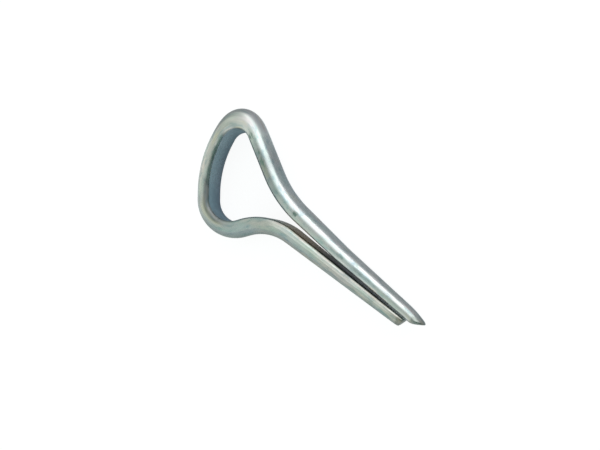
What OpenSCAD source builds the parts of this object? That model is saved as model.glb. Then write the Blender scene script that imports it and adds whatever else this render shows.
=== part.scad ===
// Cotter pin bent from one length of half-round wire, with a three-cornered eye.
// X runs along the middle of the shank towards the tips, from the throat of the eye.
// Y points to the side of the long prong, and Z is up, square to the plane of the pin.
// All sizes are in millimetres.

/* [Wire] */

// Width of the wire across its flat side
wire_width = 4.6; // [3.8:0.1:5.2]
// Thickness of the wire, from the flat to the top of the round side
wire_thickness = 2.2; // [1.6:0.1:2.6]
// Rounding of the two edges along the flat
edge_radius = 0.65; // [0.1:0.05:0.7]

/* [Eye] */

// Width of the eye between its heel and crown corners, along the flat
eye_width = 14.4; // [13:0.1:17]
// Length of the eye from the throat back to its crown corner
eye_length = 11.7; // [10.5:0.1:14]
// Share of the eye's width that lies on the short prong's side
heel_side_share = 0.535; // [0.51:0.005:0.57]
// Place of the heel corner behind the throat, as a share of the eye's length
heel_back_share = 0.44; // [0.4:0.005:0.48]
// Place of the back bar's corner behind the throat, as a share of the eye's length
bar_back_share = 0.91; // [0.89:0.005:0.96]
// Place of the back bar's corner to the short prong's side, as a share of the eye's width
bar_side_share = 0.06; // [0.03:0.005:0.08]
// Bend radius of the flat at the heel corner
heel_radius = 3.1; // [1.8:0.1:3.3]
// Bend radius of the bowed back bar
bar_radius = 13.5; // [8:0.1:15]
// Bend radius of the flat at the crown corner
crown_radius = 1.9; // [1.3:0.1:2.1]
// Extra thickness of the wire in the middle of the crown bend, where it is upset
crown_upset = 0.8; // [0:0.05:1.2]

/* [Throat] */

// Gap between the flats at the throat corners
throat_gap = 1.15; // [0.9:0.05:2]
// Bend radius from the eye into the short prong
short_throat_radius = 8.6; // [6:0.1:9]
// Bend radius from the eye into the long prong
long_throat_radius = 16.7; // [10:0.1:24]

/* [Prongs] */

// Length of the short prong from the throat corner
short_length = 22.2; // [18:0.1:30]
// How far the long prong reaches past the short one
long_extra = 1.7; // [0.5:0.1:4]
// Gap between the flats at the end of the short prong
tip_gap = 0.2; // [0.16:0.02:0.6]
// Where the slight set of the long prong sits, from the throat corner
set_at = 10.8; // [9:0.1:14]
// Radius of the slight set of the long prong
set_radius = 22; // [10:1:60]
// Angle at which the long prong's end is hooked in past the short one
hook_angle = 10; // [2:0.5:14]
// Bend radius of the hooked end
hook_radius = 10; // [6:0.5:16]
// Distance from the throat corner at which the prongs begin to taper
taper_start = 4; // [0:0.1:5]
// Size of the short prong's section at its end, as a share of the full wire
short_taper = 0.6; // [0.5:0.01:0.8]
// Size of the long prong's section at its end, as a share of the full wire
long_taper = 0.625; // [0.5:0.005:0.8]

/* [Tips] */

// Angle from square at which the short prong's end is cut, its round side being the shorter
short_mitre = 15; // [0:1:30]
// Angle from square at which the long prong's end is cut, its round side being the longer
long_mitre = 48; // [0:1:52]
// Length of the rounding at the short prong's end
short_tip = 0.7; // [0.3:0.05:1.5]
// Length of the rounding at the long prong's end
long_tip = 0.65; // [0.3:0.05:1.5]
// Size of the short prong's end face, as a share of the section where its rounding begins
short_face = 0.85; // [0.4:0.05:0.95]
// Size of the long prong's end face, as a share of the section where its rounding begins
long_face = 0.6; // [0.4:0.05:0.95]

/* [Hidden] */

// Largest angle between two rings in a bend, and the fewest steps in a bend
bend_step = 6;
fewest_steps = 2;
// Steps along the rounding of each end
tip_steps = 8;
// Steps around each rounded edge, and around the round side
edge_steps = 4;
round_steps = 18;
// Share of the room between two bends that a bow or a hook may take
room_share = 0.98;
// Share of the long prong's extra length that its rounded end may take
tip_share = 0.5;
// Height of the point that an end rounds and leans about, as a share of the thickness
tip_centre = 0.5;
// Length over which the short prong's end leans towards its mitred face
lean_length = 2.5;
quarter = 90;
half_turn = 180;
full_turn = 360;
zinc_grey = [0.66, 0.69, 0.67];

half_width = wire_width / 2;
half_throat = throat_gap / 2;
half_tip = tip_gap / 2;
heel_side = eye_width * heel_side_share;
crown_side = eye_width - heel_side;
long_rounding = min(long_tip, tip_share * long_extra);

function along(angle) = [cos(angle), sin(angle)];
function outward(angle) = [-sin(angle), cos(angle)];

// Corners of the flat's line in the plane of the pin, from the short end to the long one
short_end = [short_length, -half_tip];
hook_start = [short_length, half_tip];
long_end = hook_start + along(-hook_angle) * long_extra;
corners = [
    short_end,
    [0, -half_throat],
    [-eye_length * heel_back_share, -heel_side],
    [-eye_length * bar_back_share, -eye_width * bar_side_share],
    [-eye_length, crown_side],
    [0, half_throat],
    [set_at, half_tip],
    hook_start,
    long_end
];
first_bend = 1;
heel_corner = 2;
bar_corner = 3;
crown_corner = 4;
hook_corner = 7;

// Direction of the run that leaves corner i
function heading(i) =
    let (run = corners[i + 1] - corners[i])
    atan2(run[1], run[0]);

// Signed turn at corner i, between minus and plus half a turn
function turn(i) =
    let (raw = heading(i) - heading(i - 1))
    raw > half_turn ? raw - full_turn : raw < -half_turn ? raw + full_turn : raw;

// Length of the run that leaves corner i, and what an arc of a given radius takes of it
function run_length(i) = norm(corners[i + 1] - corners[i]);
function reach(i, radius) = radius * tan(abs(turn(i)) / 2);

// Largest radius, up to the wanted one, that keeps the arc of corner i to its room
function fitted(i, radius, room) = min(radius, room_share * room / tan(abs(turn(i)) / 2));

bar_room = min(
    run_length(heel_corner) - reach(heel_corner, heel_radius),
    run_length(bar_corner) - reach(crown_corner, crown_radius)
);
bar_bow = fitted(bar_corner, bar_radius, bar_room);
hook_bow = fitted(hook_corner, hook_radius, long_extra - long_rounding);
// Radius of each corner between the two ends
radii = [short_throat_radius, heel_radius, bar_bow, crown_radius, long_throat_radius, set_radius, hook_bow];

// Places [point, heading, share of the turn] on the arc that rounds corner i
function bend(i) =
    let (
        radius = radii[i - 1],
        sweep = turn(i),
        side = sign(sweep),
        entry = heading(i - 1),
        start = corners[i] - along(entry) * reach(i, radius),
        centre = start + outward(entry) * radius * side,
        steps = max(fewest_steps, ceil(abs(sweep) / bend_step))
    )
    [for (j = [0:steps])
        let (angle = entry + sweep * j / steps)
        [centre - outward(angle) * radius * side, angle, j / steps]];

// A prong is [x of its end, section left there, x where it begins to lean, slope of its end face]
short_prong = [short_end[0], short_taper, short_length - lean_length, tan(short_mitre)];
long_prong = [long_end[0], long_taper, short_length - reach(hook_corner, hook_bow), tan(long_mitre)];

// Share of the full section that is left at a distance x along a prong
function taper(x, prong) =
    x <= taper_start ? 1 : 1 - (1 - prong[1]) * (x - taper_start) / (prong[0] - taper_start);

// Slope of the section at a distance x along a prong, from square up to that of the end face
function lean(x, prong) = prong[3] * max(0, (x - prong[2]) / (prong[0] - prong[2]));

// Thickness of the wire as a share of its own, at a share of the turn of corner i
function upset(i, turned) =
    i == crown_corner ? 1 + crown_upset / wire_thickness * pow(sin(half_turn * turned), 2) : 1;

// A ring is [point, heading, taper, end rounding, upset, lean]
function ring_at(place, angle, prong, rounding, upset) =
    [place, angle, taper(place[0], prong), rounding, upset, lean(place[0], prong)];

function bend_rings(from, to, prong) =
    [for (i = [from:to], place = bend(i))
        ring_at(place[0], place[1], prong, 1, upset(i, place[2]))];

// Rings of a rounded end, up to its face; inward points back along the prong
function end_rings(end, angle, inward, prong, size, face) =
    [for (j = [0:tip_steps])
        let (phase = quarter * j / tip_steps)
        ring_at(end + inward * size * (1 - sin(phase)), angle, prong, face + (1 - face) * cos(phase), 1)];

function reversed(list) = [for (i = [len(list) - 1:-1:0]) list[i]];

short_heading = heading(0);
long_heading = heading(hook_corner);
short_inward = along(short_heading);
rings = concat(
    reversed(end_rings(short_end, short_heading, short_inward, short_prong, short_tip, short_face)),
    [ring_at(short_end + short_inward * lean_length, short_heading, short_prong, 1, 1)],
    bend_rings(first_bend, bar_corner, short_prong),
    bend_rings(crown_corner, hook_corner, long_prong),
    end_rings(long_end, long_heading, -along(long_heading), long_prong, long_rounding, long_face)
);

// Section of the wire as [height over the flat, place across the width]
section = concat(
    [for (j = [0:edge_steps])
        let (angle = half_turn - quarter * j / edge_steps)
        [edge_radius * (1 + cos(angle)), half_width - edge_radius * (1 - sin(angle))]],
    [for (j = [1:round_steps - 1])
        let (angle = quarter - half_turn * j / round_steps)
        [edge_radius + (wire_thickness - edge_radius) * cos(angle), half_width * sin(angle)]],
    [for (j = [0:edge_steps])
        let (angle = -quarter - quarter * j / edge_steps)
        [edge_radius * (1 + cos(angle)), -half_width + edge_radius * (1 + sin(angle))]]
);
sides = len(section);

// Points of one ring: the section rounded towards its middle, scaled on the flat's line, then leant
function ring_points(ring) =
    let (middle = tip_centre * wire_thickness)
    [for (spot = section)
        let (
            rise = (spot[0] * ring[4] - middle) * ring[3],
            offset = outward(ring[1]) * (middle + rise) + along(ring[1]) * rise * ring[5],
            place = ring[0] + offset * ring[2]
        )
        [place[0], place[1], spot[1] * ring[2] * ring[3]]];

skin = [for (ring = rings) each ring_points(ring)];
last_ring = (len(rings) - 1) * sides;
faces = concat(
    [[for (k = [sides - 1:-1:0]) k]],
    [for (i = [0:len(rings) - 2], k = [0:sides - 1])
        let (next = (k + 1) % sides)
        [i * sides + k, i * sides + next, (i + 1) * sides + next, (i + 1) * sides + k]],
    [[for (k = [0:sides - 1]) last_ring + k]]
);

// The whole pin, one swept wire
module cotter_pin() {
    color(zinc_grey)
        polyhedron(points = skin, faces = faces, convexity = 6);
}

cotter_pin();
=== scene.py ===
"""Studio picture of the cotter pin: the bent half-round wire, its plating, light, floor and camera."""

import math

import bpy
import numpy as np
from mathutils import Matrix, Vector


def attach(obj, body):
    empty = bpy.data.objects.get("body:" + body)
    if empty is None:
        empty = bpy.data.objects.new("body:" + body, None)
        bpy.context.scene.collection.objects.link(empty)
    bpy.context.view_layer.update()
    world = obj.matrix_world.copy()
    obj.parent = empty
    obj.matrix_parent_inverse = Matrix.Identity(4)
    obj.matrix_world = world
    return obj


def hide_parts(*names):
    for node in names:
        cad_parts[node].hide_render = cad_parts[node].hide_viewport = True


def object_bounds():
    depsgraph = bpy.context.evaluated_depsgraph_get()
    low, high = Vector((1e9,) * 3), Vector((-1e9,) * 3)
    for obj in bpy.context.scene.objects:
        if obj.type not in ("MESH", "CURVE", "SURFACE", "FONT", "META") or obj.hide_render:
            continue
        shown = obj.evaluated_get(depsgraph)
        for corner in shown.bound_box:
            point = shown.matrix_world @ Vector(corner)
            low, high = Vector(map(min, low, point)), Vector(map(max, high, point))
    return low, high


MM = 0.001

# Sizes of the wire and its path in millimetres and degrees, the same as the CAD part's
WIRE_WIDTH = 4.6
WIRE_THICKNESS = 2.2
EDGE_RADIUS = 0.65
EYE_WIDTH = 14.4
EYE_LENGTH = 11.7
HEEL_SIDE_SHARE = 0.535
HEEL_BACK_SHARE = 0.44
BAR_BACK_SHARE = 0.91
BAR_SIDE_SHARE = 0.06
HEEL_RADIUS = 3.1
BAR_RADIUS = 13.5
CROWN_RADIUS = 1.9
CROWN_UPSET = 0.8
THROAT_GAP = 1.15
SHORT_THROAT_RADIUS = 8.6
LONG_THROAT_RADIUS = 16.7
SHORT_LENGTH = 22.2
LONG_EXTRA = 1.7
TIP_GAP = 0.2
SET_AT = 10.8
SET_RADIUS = 22.0
HOOK_ANGLE = 10.0
HOOK_RADIUS = 10.0
TAPER_START = 4.0
SHORT_TAPER = 0.6
LONG_TAPER = 0.625
SHORT_MITRE = 15.0
LONG_MITRE = 48.0
SHORT_TIP = 0.7
LONG_TIP = 0.65
SHORT_FACE = 0.85
LONG_FACE = 0.6
TIP_CENTRE = 0.5
LEAN_LENGTH = 2.5

# Place of the crown among the corners of the path; the rings before it belong to the short prong
CROWN_CORNER = 4
# The shown skin lies this far inside the CAD's facets
SKIN = 0.012
# Height over the flat at which its own tint has faded out
FLAT_FADE = 0.06

# Mesh fineness: degrees between rings in a bend and the fewest steps in one, millimetres between rings,
# how near two rings count as one, steps along a rounded end, steps round each part of the section
BEND_STEP = 2.0
FEWEST_STEPS = 4
RING_STEP = 0.12
SAME_PLACE = 1e-6
TIP_STEPS = 24
EDGE_STEPS = 12
ROUND_STEPS = 56
FLAT_STEPS = 12

# Nicks along the front of the long arm and prong:
# distance along the wire, height over the flat, half length, depth, stain
NICKS = [
    (44.8, 0.55, 0.80, 0.03, 0.80),
    (47.2, 0.60, 0.70, 0.03, 0.65),
    (48.7, 0.65, 1.10, 0.04, 0.85),
    (57.2, 0.80, 0.55, 0.08, 1.00),
    (65.3, 0.80, 0.80, 0.02, 0.40),
    (68.3, 0.80, 1.20, 0.02, 0.40),
    (69.9, 0.80, 0.90, 0.02, 0.35),
]
# Half width of a nick, how steeply it falls, and the waves that make its outline uneven:
# size, and how fast each runs along the wire and up its side
NICK_HALF_WIDTH = 0.4
NICK_FALL = 1.5
NICK_WAVES = [
    (0.15, 9.0, 14.0),
    (0.10, 17.0, -23.0),
]


def along(angle):
    """Direction of a heading in the plane of the pin."""
    return np.array([math.cos(angle), math.sin(angle)])


def outward(angle):
    """Direction square to a heading, from the flat to the round side."""
    return np.array([-math.sin(angle), math.cos(angle)])


def path_corners():
    """Corners of the flat's line, from the short end to the long one."""
    heel_side = EYE_WIDTH * HEEL_SIDE_SHARE
    hook = np.array([SHORT_LENGTH, TIP_GAP / 2])
    return np.array([
        (SHORT_LENGTH - SKIN, -TIP_GAP / 2),
        (0.0, -THROAT_GAP / 2),
        (-EYE_LENGTH * HEEL_BACK_SHARE, -heel_side),
        (-EYE_LENGTH * BAR_BACK_SHARE, -EYE_WIDTH * BAR_SIDE_SHARE),
        (-EYE_LENGTH, EYE_WIDTH - heel_side),
        (0.0, THROAT_GAP / 2),
        (SET_AT, TIP_GAP / 2),
        hook,
        hook + along(-math.radians(HOOK_ANGLE)) * (LONG_EXTRA - SKIN),
    ])


class Prong:
    """End of the wire: where it stops, how far it tapers and how its end face leans."""

    def __init__(self, tip_x, share, lean_start, mitre):
        self.tip_x = tip_x
        self.share = share
        self.lean_start = lean_start
        self.slope = math.tan(math.radians(mitre))

    def taper(self, x):
        """Share of the full section that is left at x."""
        if x <= TAPER_START:
            return 1.0
        return 1.0 - (1.0 - self.share) * (x - TAPER_START) / (self.tip_x - TAPER_START)

    def lean(self, x):
        """Slope of the section at x, from square up to that of the end face."""
        return self.slope * max(0.0, (x - self.lean_start) / (self.tip_x - self.lean_start))

    def ring(self, place, angle, rounding=1.0, upset=1.0):
        """One ring of the wire, in the order that wire_rings gives."""
        x, y = place
        return [x, y, angle, self.taper(x), rounding, upset, self.lean(x)]


def end_rings(prong, end, angle, inward, size, face):
    """Rings of a rounded end from its inner side to its face."""
    rings = []
    for j in range(TIP_STEPS + 1):
        phase = math.pi / 2 * j / TIP_STEPS
        place = end + inward * size * (1.0 - math.sin(phase))
        rings.append(prong.ring(place, angle, face + (1.0 - face) * math.cos(phase)))
    return rings


def bend_rings(prong, corner, entry, sweep, radius, swell):
    """Rings of the arc that rounds a corner of the path, thicker in its middle by the swell."""
    side = math.copysign(1.0, sweep)
    start = corner - along(entry) * radius * math.tan(abs(sweep) / 2)
    centre = start + outward(entry) * radius * side
    steps = max(FEWEST_STEPS, math.ceil(math.degrees(abs(sweep)) / BEND_STEP))
    rings = []
    for j in range(steps + 1):
        angle = entry + sweep * j / steps
        upset = 1.0 + swell * math.sin(math.pi * j / steps) ** 2
        rings.append(prong.ring(centre - outward(angle) * radius * side, angle, upset=upset))
    return rings


def filled_in(rings):
    """Rings with more between them, so that none lie farther apart than RING_STEP."""
    filled = [rings[:1]]
    for a, b in zip(rings[:-1], rings[1:]):
        gap = math.hypot(*(b[:2] - a[:2]))
        if gap > SAME_PLACE:
            steps = math.ceil(gap / RING_STEP)
            filled.append(a + (b - a) * np.arange(1, steps + 1)[:, None] / steps)
    return np.concatenate(filled)


def wire_rings():
    """All rings of the wire: x, y, heading, taper, end rounding, upset, lean."""
    points = path_corners()
    runs = np.diff(points, axis=0)
    headings = np.unwrap(np.arctan2(runs[:, 1], runs[:, 0]))
    turns = np.diff(headings)
    radii = [
        SHORT_THROAT_RADIUS,
        HEEL_RADIUS,
        BAR_RADIUS,
        CROWN_RADIUS,
        LONG_THROAT_RADIUS,
        SET_RADIUS,
        HOOK_RADIUS,
    ]
    hook_reach = HOOK_RADIUS * math.tan(math.radians(HOOK_ANGLE) / 2)
    short = Prong(points[0][0], SHORT_TAPER, SHORT_LENGTH - LEAN_LENGTH, SHORT_MITRE)
    long = Prong(points[-1][0], LONG_TAPER, SHORT_LENGTH - hook_reach, LONG_MITRE)
    first, last = headings[0], headings[-1]
    rings = end_rings(short, points[0], first, along(first), SHORT_TIP, SHORT_FACE)[::-1]
    rings.append(short.ring(points[0] + along(first) * LEAN_LENGTH, first))
    for i, (sweep, radius) in enumerate(zip(turns, radii), start=1):
        prong = short if i < CROWN_CORNER else long
        swell = CROWN_UPSET / WIRE_THICKNESS if i == CROWN_CORNER else 0.0
        rings += bend_rings(prong, points[i], headings[i - 1], sweep, radius, swell)
    rings += end_rings(long, points[-1], last, -along(last), LONG_TIP, LONG_FACE)
    return filled_in(np.array(rings))


def wire_section():
    """Section of the wire as rows of height over the flat and place across the width."""
    half, thick = WIRE_WIDTH / 2 - SKIN, WIRE_THICKNESS - SKIN
    edge = np.linspace(math.pi, math.pi / 2, EDGE_STEPS + 1)
    top = np.c_[SKIN + EDGE_RADIUS * (1 + np.cos(edge)), half - EDGE_RADIUS * (1 - np.sin(edge))]
    turn = np.linspace(math.pi / 2, -math.pi / 2, ROUND_STEPS + 1)[1:-1]
    base = SKIN + EDGE_RADIUS
    rounded = np.c_[base + (thick - base) * np.cos(turn), half * np.sin(turn)]
    low = (top * [1, -1])[::-1]
    share = np.linspace(0, 1, FLAT_STEPS + 1)[1:-1, None]
    flat = low[-1] + (top[0] - low[-1]) * share
    return np.concatenate([top, rounded, low, flat])


def wire_points(rings, section):
    """Grid of points, one row for each ring."""
    x, y, angle, scale, rounding, upset, lean = rings.T[:, :, None]
    middle = TIP_CENTRE * WIRE_THICKNESS
    rise = (section[None, :, 0] * upset - middle) * rounding
    height, shift = (middle + rise) * scale, rise * lean * scale
    across = section[None, :, 1] * scale * rounding
    sine, cosine = np.sin(angle), np.cos(angle)
    point_x = x - sine * height + cosine * shift
    point_y = y + cosine * height + sine * shift
    return np.stack([point_x, point_y, across], axis=-1)


def grid_faces(rows, columns):
    """Quads round the wire and one face at each end."""
    faces = []
    for i in range(rows - 1):
        here, there = i * columns, (i + 1) * columns
        for k in range(columns):
            n = (k + 1) % columns
            faces.append((here + k, there + k, there + n, here + n))
    faces.append(tuple(range(columns)))
    faces.append(tuple((rows - 1) * columns + k for k in reversed(range(columns))))
    return faces


def nick_weights(travelled, height, across):
    """Depth and stain of each nick, and how far inside it every point lies, from 0 to 1."""
    ragged = sum(size * np.sin(run * travelled + climb * height) for size, run, climb in NICK_WAVES)
    for start, rise, half_length, depth, stain in NICKS:
        away = np.hypot((travelled - start) / half_length, (height - rise) / NICK_HALF_WIDTH)
        inside = np.clip(1.0 - (away * (1.0 + ragged)) ** 2, 0.0, 1.0) ** NICK_FALL
        yield depth, stain, np.where(across > 0.0, inside, 0.0)


def press_nicks(mesh, weights):
    """Presses the nicks into the mesh and returns how stained each point is by one, from 0 to 1."""
    count = len(mesh.vertices)
    points, normals = np.empty(count * 3), np.empty(count * 3)
    mesh.vertices.foreach_get("co", points)
    mesh.vertex_normals.foreach_get("vector", normals)
    sunk, stains = np.zeros(count), np.zeros(count)
    for depth, stain, weight in weights:
        sunk = np.maximum(sunk, depth * MM * weight)
        stains = np.maximum(stains, stain * weight)
    mesh.vertices.foreach_set("co", points - normals * np.repeat(sunk, 3))
    mesh.update()
    return stains


def add_attribute(mesh, name, values):
    """Gives each point of the mesh a number or a vector of its own."""
    values = np.asarray(values, dtype=np.float32)
    kind = "FLOAT" if values.ndim == 1 else "FLOAT_VECTOR"
    field = "value" if values.ndim == 1 else "vector"
    mesh.attributes.new(name, kind, "POINT").data.foreach_set(field, values.ravel())


def build_pin():
    """The whole pin as one smooth mesh in metres, with what its plating needs to know of each point."""
    rings, section = wire_rings(), wire_section()
    grid = wire_points(rings, section)
    rows, columns = grid.shape[:2]
    mesh = bpy.data.meshes.new("pin_wire")
    mesh.from_pydata((grid.reshape(-1, 3) * MM).tolist(), [], grid_faces(rows, columns))
    mesh.update()
    mesh.shade_smooth()
    travelled = np.concatenate([[0], np.cumsum(np.hypot(*np.diff(rings[:, :2], axis=0).T))])
    travelled = np.repeat(travelled, columns)
    height = np.tile(section[:, 0], rows)
    across = np.tile(section[:, 1], rows)
    add_attribute(mesh, "nick", press_nicks(mesh, nick_weights(travelled, height, across)))
    add_attribute(mesh, "wire_place", np.c_[travelled, height, across])
    add_attribute(mesh, "flat_side", np.clip(1.0 - height / FLAT_FADE, 0.0, 1.0))
    pin = bpy.data.objects.new("pin_wire", mesh)
    bpy.context.scene.collection.objects.link(pin)
    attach(pin, "root")
    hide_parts("cotter_pin")
    return pin


# Numbers of a Mix node's sockets for colours, because those for other kinds have the same names
MIX_SHARE, MIX_A, MIX_B, MIX_RESULT = 0, 6, 7, 2


class Nodes:
    """Short ways to add and join shader nodes in one tree."""

    def __init__(self, tree):
        self.tree = tree

    def add(self, kind, **values):
        node = self.tree.nodes.new("ShaderNode" + kind)
        for name, value in values.items():
            setattr(node, name, value)
        return node

    def put(self, socket, value):
        """Links a socket to another node's output, or sets it to a fixed value."""
        if isinstance(value, bpy.types.NodeSocket):
            self.tree.links.new(value, socket)
        else:
            socket.default_value = value

    def attribute(self, name, output="Fac"):
        return self.add("Attribute", attribute_name=name).outputs[output]

    def math(self, operation, a, b):
        node = self.add("Math", operation=operation)
        self.put(node.inputs[0], a)
        self.put(node.inputs[1], b)
        return node.outputs[0]

    def dot(self, a, b):
        node = self.add("VectorMath", operation="DOT_PRODUCT")
        self.put(node.inputs[0], a)
        self.put(node.inputs[1], b)
        return node.outputs["Value"]

    def stretched(self, vector, scale):
        node = self.add("VectorMath", operation="MULTIPLY")
        self.put(node.inputs[0], vector)
        self.put(node.inputs[1], scale)
        return node.outputs[0]

    def noise(self, vector, scale, detail):
        node = self.add("TexNoise")
        self.put(node.inputs["Vector"], vector)
        self.put(node.inputs["Scale"], scale)
        self.put(node.inputs["Detail"], detail)
        return node.outputs["Fac"]

    def spread(self, value, low, high, to_low=0.0, to_high=1.0):
        """A value's smooth way from to_low to to_high, as it goes from low to high."""
        node = self.add("MapRange", interpolation_type="SMOOTHSTEP")
        self.put(node.inputs["Value"], value)
        self.put(node.inputs["From Min"], low)
        self.put(node.inputs["From Max"], high)
        self.put(node.inputs["To Min"], to_low)
        self.put(node.inputs["To Max"], to_high)
        return node.outputs["Result"]

    def mix(self, share, a, b, **values):
        """Colour a with a share of colour b laid over it."""
        node = self.add("Mix", data_type="RGBA", **values)
        self.put(node.inputs[MIX_SHARE], share)
        self.put(node.inputs[MIX_A], a)
        self.put(node.inputs[MIX_B], b)
        return node.outputs[MIX_RESULT]

    def tinted(self, share, colour, tint):
        """A colour times a share of a tint, kept between black and white."""
        return self.mix(share, colour, tint, blend_type="MULTIPLY", clamp_result=True)


# Tone of the plating along the wire, with painted light in it: the pale stop at the crown is a painted
# highlight.
# Distance from the short end in millimetres, linear colour
PLATING_AND_LIGHT = [
    (0.0, (0.64, 0.61, 0.56, 1)),
    (8.0, (0.58, 0.63, 0.62, 1)),
    (15.0, (0.66, 0.64, 0.60, 1)),
    (30.0, (0.55, 0.58, 0.57, 1)),
    (36.0, (0.71, 0.70, 0.68, 1)),
    (41.5, (0.61, 0.62, 0.59, 1)),
    (44.0, (0.93, 0.96, 0.94, 1)),
    (48.5, (0.58, 0.62, 0.62, 1)),
    (54.0, (0.68, 0.73, 0.73, 1)),
    (78.0, (0.67, 0.68, 0.67, 1)),
]

# Noises on the plating: stretch along the wire, scale, detail and middle value
STREAK_STRETCH = (0.35, 1.0, 1.0)
MOTTLE_STRETCH = (0.45, 1.0, 1.0)
CLOUD_SCALE = 0.9
DRIFT_SCALE = 0.37
MOTTLE_SCALE = 1.7
FINE_SCALE = 3.0
FULL_DETAIL = 3.0
SOFT_DETAIL = 2.0
NOISE_MIDDLE = 0.5

# Tints that the noises bring in: noise, its values where the tint begins and is full, colour
CLOUDING = [
    # Green clouds, blue and pink drifts, and yellow between the clouds
    ("cloud", 0.40, 0.70, (0.88, 0.99, 0.94, 1)),
    ("drift", 0.52, 0.72, (0.88, 0.99, 1.05, 1)),
    ("drift", 0.46, 0.28, (1.06, 0.96, 0.98, 1)),
    ("cloud", 0.45, 0.30, (1.06, 1.04, 0.92, 1)),
    # Dark and pale mottling
    ("mottle", 0.52, 0.66, (0.75, 0.84, 0.87, 1)),
    ("mottle", 0.46, 0.34, (1.09, 1.08, 1.07, 1)),
]
# Places across the wire between which these tints grow from a faint share to a full one, and the shares
CLOUDING_GROWS = (-0.6, 1.2, 0.35, 1.0)

# How far the clouds fray the edges of patches, along the wire and in height
FRAY_ALONG = 2.5
FRAY_RISE = 0.4

# Patches on the front of the wire, most of them painted highlights and painted shade, one a scuff: from
# and to along it, from and to in height over the flat, how far each pair of bounds fades, tint
OPEN = 99.0
LIGHT_AND_WEAR_PATCHES = [
    # Painted highlight along the short prong, and painted shade with a warm tint on its inner edge
    ((3.0, 20.0, 0.45, 0.80, 2.0, 0.15), (1.50, 1.44, 1.46, 1)),
    ((3.0, 19.5, -OPEN, 0.30, 1.5, 0.15), (0.82, 0.76, 0.72, 1)),
    # Painted shade on the inner rim of the heel, and painted light on the outside of the bar
    ((28.6, 33.5, -OPEN, 0.48, 2.0, 0.35), (0.60, 0.60, 0.61, 1)),
    ((31.0, 39.0, 1.45, OPEN, 1.5, 0.25), (1.40, 1.37, 1.34, 1)),
    # Painted highlight on the rim beside the crown, and painted shade on the outside of the crown
    ((39.3, 41.5, -OPEN, 0.40, 0.8, 0.15), (1.60, 1.48, 1.55, 1)),
    ((41.0, 44.0, 1.30, OPEN, 1.0, 0.20), (0.82, 0.78, 0.80, 1)),
    # Scuffed inner edge of the long arm
    ((47.5, 52.0, -OPEN, 0.78, 5.0, 0.35), (0.68, 0.69, 0.70, 1)),
    # Painted shade on the outer edge from the crown to the long end, a painted highlight widening the
    # long prong's line, and painted light on its inner edge
    ((41.0, OPEN, 1.80, OPEN, 1.5, 0.20), (0.77, 0.74, 0.77, 1)),
    ((53.0, 75.0, 1.50, 1.75, 2.0, 0.20), (1.20, 1.14, 1.15, 1)),
    ((62.0, 77.0, -OPEN, 0.35, 2.0, 0.20), (1.25, 1.20, 1.24, 1)),
    # Painted shade on the cut ends
    ((77.1, OPEN, -OPEN, OPEN, 0.4, 0.20), (0.62, 0.63, 0.61, 1)),
    ((-OPEN, 0.4, -OPEN, OPEN, 0.4, 0.20), (0.60, 0.62, 0.60, 1)),
]
# Places across the wire between which the patches grow to their full share
PATCHES_GROW = (-0.8, 0.4)

# Values of the fine noise between which the roughness grows, and its lowest and highest
ROUGHNESS = (0.3, 0.7, 0.22, 0.32)
# What the crown bend and the heel's rim add to it
ROUGHER = [
    ((42.0, 44.5, -OPEN, OPEN, 1.5, 0.20), 0.12),
    ((27.0, 32.5, -OPEN, 0.55, 1.5, 0.20), 0.25),
]

# Tints of the flat, blue and a painted shade; places across the wire between which the painted shade
# deepens towards the floor, and distances along it between which it does so less at the crown and more in
# the heel, with the shares
FLAT_BLUE = (0.47, 0.66, 0.76, 1)
FLAT_PAINTED_SHADE = (0.19, 0.28, 0.38, 1)
FLAT_SHADE_DEEPENS = (1.6, -2.2)
FLAT_AT_CROWN = (42.0, 37.0, 0.4, 1.0)
FLAT_AT_HEEL = (31.5, 28.5, 0.0, 0.7)

# Tints in the gap between the prongs: brown grime, black painted shade and grey, and the distances from
# the throat in millimetres between which it sets in, turns black and turns grey
GAP_BROWN = (0.89, 0.71, 0.55, 1)
GAP_SHADE_BLACK = (0.10, 0.10, 0.10, 1)
GAP_GREY = (0.60, 0.66, 0.63, 1)
GAP_SETS_IN = (-2.0, 5.0)
GAP_BLACKENS = (6.0, 11.0)
GAP_GREYS = (17.0, 22.0)

# Stain of the nicks, how the fine noise breaks it up, and how far it covers the plating
NICK_GREEN = (0.20, 0.30, 0.27, 1)
STAIN_BREAKS = (0.35, 0.65, 0.3, 1.6)
STAIN_COVERS = (0.0, 0.9, 0.0, 0.95)


def plating_and_light_tone(nodes, travelled):
    """Colour of the plating at a distance along the wire, its pale part at the crown being a painted
    highlight.
    """
    reach = PLATING_AND_LIGHT[-1][0]
    ramp = nodes.add("ValToRGB")
    stops = ramp.color_ramp.elements
    for distance, colour in PLATING_AND_LIGHT[1:-1]:
        stops.new(distance / reach).color = colour
    stops[0].color, stops[-1].color = PLATING_AND_LIGHT[0][1], PLATING_AND_LIGHT[-1][1]
    nodes.put(ramp.inputs[0], nodes.math("DIVIDE", travelled, reach))
    return ramp.outputs["Color"]


def clouded(nodes, colour, noises, across):
    """The plating's colour with its clouds, drifts and mottling, which are fainter down the sides."""
    strength = nodes.spread(across, *CLOUDING_GROWS)
    for name, low, high, tint in CLOUDING:
        share = nodes.math("MULTIPLY", nodes.spread(noises[name], low, high), strength)
        colour = nodes.tinted(share, colour, tint)
    return colour


def within(nodes, value, low, high, fade):
    """1 between two bounds, falling to 0 over the fade outside them."""
    above = nodes.spread(value, low - fade, low)
    return nodes.math("MULTIPLY", above, nodes.spread(value, high + fade, high))


def patch_share(nodes, frayed, rise, bounds):
    """1 inside a patch of the wire, falling to 0 outside it."""
    start, stop, low, high, fade_along, fade_rise = bounds
    beside = within(nodes, frayed, start, stop, fade_along)
    return nodes.math("MULTIPLY", beside, within(nodes, rise, low, high, fade_rise))


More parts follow.
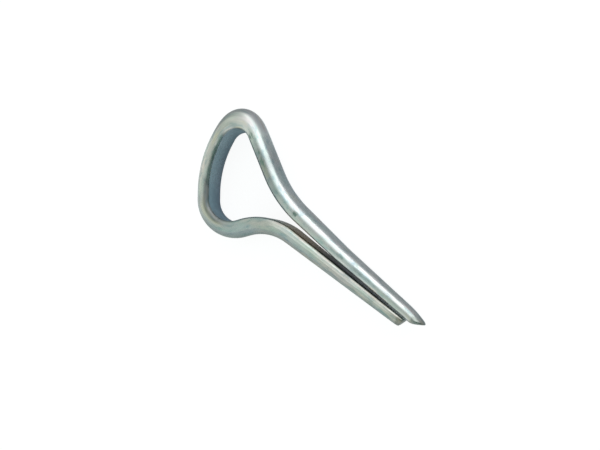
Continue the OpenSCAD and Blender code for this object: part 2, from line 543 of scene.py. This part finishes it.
def worn_and_painted_light(nodes, colour, frayed, rise, across):
    """The plating's colour with the patches of its front: painted highlights, painted shade and a scuff.
    """
    front = nodes.spread(across, *PATCHES_GROW)
    for bounds, tint in LIGHT_AND_WEAR_PATCHES:
        share = nodes.math("MULTIPLY", patch_share(nodes, frayed, rise, bounds), front)
        colour = nodes.tinted(share, colour, tint)
    return colour


def flat_tint_and_shade(nodes, travelled, across):
    """Bluer plating on the flat, with painted shade that deepens towards the floor and in the heel, less
    so at the crown.
    """
    crown = nodes.spread(travelled, *FLAT_AT_CROWN)
    low = nodes.math("MULTIPLY", nodes.spread(across, *FLAT_SHADE_DEEPENS), crown)
    heel = nodes.spread(travelled, *FLAT_AT_HEEL)
    return nodes.mix(nodes.math("MAXIMUM", low, heel), FLAT_BLUE, FLAT_PAINTED_SHADE)


def gap_grime_and_shade(nodes, colour, flat):
    """Brown grime and black painted shade on the flats between the prongs: brown at the throat, then
    black, and grey at the tips.
    """
    place = nodes.add("TexCoord").outputs["Object"]
    reach = nodes.dot(place, (1.0 / MM, 0.0, 0.0))
    grime_and_shade = nodes.mix(nodes.spread(reach, *GAP_BLACKENS), GAP_BROWN, GAP_SHADE_BLACK)
    grime_and_shade = nodes.mix(nodes.spread(reach, *GAP_GREYS), grime_and_shade, GAP_GREY)
    return nodes.mix(nodes.math("MULTIPLY", flat, nodes.spread(reach, *GAP_SETS_IN)), colour, grime_and_shade)


def stained(nodes, colour, fine):
    """The plating's colour with the stain of the nicks."""
    stain = nodes.math("MULTIPLY", nodes.attribute("nick"), nodes.spread(fine, *STAIN_BREAKS))
    return nodes.mix(nodes.spread(stain, *STAIN_COVERS), colour, NICK_GREEN)


def roughened(nodes, fine, frayed, rise):
    """Roughness of the plating, with what its rougher places add."""
    roughness = nodes.spread(fine, *ROUGHNESS)
    for bounds, extra in ROUGHER:
        share = patch_share(nodes, frayed, rise, bounds)
        roughness = nodes.math("ADD", roughness, nodes.math("MULTIPLY", share, extra))
    return roughness


def zinc_material():
    """Bright zinc: clouded metal, a scuff, painted highlights and painted shade, a bluer flat with
    painted shade, grime and painted shade in the gap, and stained nicks.
    """
    material = bpy.data.materials.new("zinc_plating")
    material.use_nodes = True
    nodes = Nodes(material.node_tree)
    wire = nodes.attribute("wire_place", "Vector")
    flat = nodes.attribute("flat_side")
    parts = nodes.add("SeparateXYZ")
    nodes.put(parts.inputs[0], wire)
    travelled, height, across = parts.outputs
    streaks = nodes.stretched(wire, STREAK_STRETCH)
    fine = nodes.noise(streaks, FINE_SCALE, FULL_DETAIL)
    noises = {
        "cloud": nodes.noise(streaks, CLOUD_SCALE, FULL_DETAIL),
        "drift": nodes.noise(streaks, DRIFT_SCALE, SOFT_DETAIL),
        "mottle": nodes.noise(nodes.stretched(wire, MOTTLE_STRETCH), MOTTLE_SCALE, SOFT_DETAIL),
    }
    uneven = nodes.math("SUBTRACT", noises["cloud"], NOISE_MIDDLE)
    frayed = nodes.math("ADD", travelled, nodes.math("MULTIPLY", uneven, FRAY_ALONG))
    rise = nodes.math("ADD", height, nodes.math("MULTIPLY", uneven, FRAY_RISE))
    colour = clouded(nodes, plating_and_light_tone(nodes, travelled), noises, across)
    colour = worn_and_painted_light(nodes, colour, frayed, rise, across)
    colour = nodes.mix(flat, colour, flat_tint_and_shade(nodes, travelled, across))
    colour = gap_grime_and_shade(nodes, colour, flat)
    colour = stained(nodes, colour, fine)
    shader = material.node_tree.nodes["Principled BSDF"]
    nodes.put(shader.inputs["Base Color"], colour)
    nodes.put(shader.inputs["Metallic"], 1.0)
    nodes.put(shader.inputs["Roughness"], roughened(nodes, fine, frayed, rise))
    return material


# The floor's reach each way in metres, its own colour and its roughness
FLOOR_REACH = 2.0
FLOOR_COLOUR = (0.70, 0.73, 0.77, 1)
FLOOR_ROUGHNESS = 0.9
# White that the camera sees on the floor whatever the light, the share of the lit floor, with its shadow,
# that it still sees under it, and the share of the white that reflections see
WHITE = (1, 1, 1, 1)
FLOOR_WHITE = 0.9
SHADOW_SHARE = 0.3
REFLECTED_SHARE = 0.05


def floor_material():
    """Matt pale floor, with white laid over it for the camera and a little for reflections."""
    material = bpy.data.materials.new("pale_floor")
    material.use_nodes = True
    nodes = Nodes(material.node_tree)
    shader = material.node_tree.nodes["Principled BSDF"]
    nodes.put(shader.inputs["Base Color"], FLOOR_COLOUR)
    nodes.put(shader.inputs["Roughness"], FLOOR_ROUGHNESS)
    white = nodes.add("Emission")
    nodes.put(white.inputs["Color"], WHITE)
    nodes.put(white.inputs["Strength"], FLOOR_WHITE / (1.0 - SHADOW_SHARE))
    mix = nodes.add("MixShader")
    ray = nodes.add("LightPath").outputs
    straight = nodes.math("MULTIPLY", ray["Is Camera Ray"], 1.0 - SHADOW_SHARE)
    bent = nodes.math("MAXIMUM", ray["Is Glossy Ray"], ray["Is Transmission Ray"])
    reflected = nodes.math("MULTIPLY", bent, REFLECTED_SHARE)
    nodes.put(mix.inputs[0], nodes.math("MAXIMUM", straight, reflected))
    nodes.put(mix.inputs[1], shader.outputs["BSDF"])
    nodes.put(mix.inputs[2], white.outputs["Emission"])
    nodes.put(material.node_tree.nodes["Material Output"].inputs["Surface"], mix.outputs["Shader"])
    return material


def build_floor(height):
    """Square floor that the pin lies on."""
    mesh = bpy.data.meshes.new("floor")
    sides = ((-1, -1), (1, -1), (1, 1), (-1, 1))
    corners = [(x * FLOOR_REACH, y * FLOOR_REACH, height) for x, y in sides]
    mesh.from_pydata(corners, [], [(0, 1, 2, 3)])
    mesh.materials.append(floor_material())
    floor = bpy.data.objects.new("floor", mesh)
    bpy.context.scene.collection.objects.link(floor)


# Tone of the room, and its soft areas, each laid over those before it:
# direction, sharpness, strength, colour
ROOM_COLOUR = (0.64, 0.69, 0.64, 1)
STUDIO_AREAS = [
    ((0.62, 0.75, 0.23), 3.1, 2.2, (0.06, 0.12, 0.11, 1)),
    ((-0.91, -0.41, 0.01), 21.0, 0.95, (1.10, 1.03, 0.94, 1)),
    ((-0.09, 0.94, 0.34), 9.0, 2.1, (1.50, 1.51, 1.53, 1)),
]


def build_room():
    """Grey room with its soft areas, which light the pin; the camera sees it as white."""
    world = bpy.data.worlds.new("studio")
    bpy.context.scene.world = world
    world.use_nodes = True
    nodes = Nodes(world.node_tree)
    way = nodes.add("TexCoord").outputs["Generated"]
    tone = ROOM_COLOUR
    for side, sharpness, strength, colour in STUDIO_AREAS:
        power = nodes.add("Math", operation="MULTIPLY_ADD")
        nodes.put(power.inputs[0], nodes.dot(way, Vector(side).normalized()))
        nodes.put(power.inputs[1], sharpness)
        nodes.put(power.inputs[2], math.log(strength) - sharpness)
        share = nodes.add("Math", operation="EXPONENT", use_clamp=True)
        nodes.put(share.inputs[0], power.outputs[0])
        tone = nodes.mix(share.outputs[0], tone, colour)
    seen = nodes.mix(nodes.add("LightPath").outputs["Is Camera Ray"], tone, WHITE)
    nodes.put(world.node_tree.nodes["Background"].inputs["Color"], seen)


# Camera of the photo: aim and distance in millimetres, axes in the frame of the part,
# lens and sensor in millimetres, nearest and farthest sight in metres
CAMERA_AIM = (4.017, 0.273, 0.0)
CAMERA_BACK = (0.2901, 0.1597, 0.9436)
CAMERA_UP = (-0.6208, 0.7818, 0.0586)
CAMERA_DISTANCE = 114.15
CAMERA_LENS = 52.93
CAMERA_SENSOR = 36.0
CAMERA_SIGHT = (0.001, 10.0)


def add_camera():
    """Camera at the photo's viewing angle."""
    data = bpy.data.cameras.new("photo_camera")
    data.sensor_width = CAMERA_SENSOR
    data.lens = CAMERA_LENS
    data.clip_start, data.clip_end = CAMERA_SIGHT
    camera = bpy.data.objects.new("photo_camera", data)
    back = Vector(CAMERA_BACK).normalized()
    right = Vector(CAMERA_UP).cross(back).normalized()
    up = back.cross(right)
    axes = Matrix((right, up, back)).transposed().to_4x4()
    place = (Vector(CAMERA_AIM) + back * CAMERA_DISTANCE) * MM
    camera.matrix_world = Matrix.Translation(place) @ axes
    bpy.context.scene.collection.objects.link(camera)
    bpy.context.scene.camera = camera


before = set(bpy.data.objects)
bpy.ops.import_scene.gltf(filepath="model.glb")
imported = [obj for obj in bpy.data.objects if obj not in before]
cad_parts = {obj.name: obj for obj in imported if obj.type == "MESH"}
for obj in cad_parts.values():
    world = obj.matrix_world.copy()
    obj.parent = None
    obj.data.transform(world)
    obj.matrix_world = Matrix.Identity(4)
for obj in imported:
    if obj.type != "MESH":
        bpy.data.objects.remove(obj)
cad_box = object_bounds()
pin = build_pin()
pin.data.materials.append(zinc_material())
build_floor(cad_box[0].z)
build_room()
add_camera()
bpy.context.scene.view_settings.view_transform = "Standard"
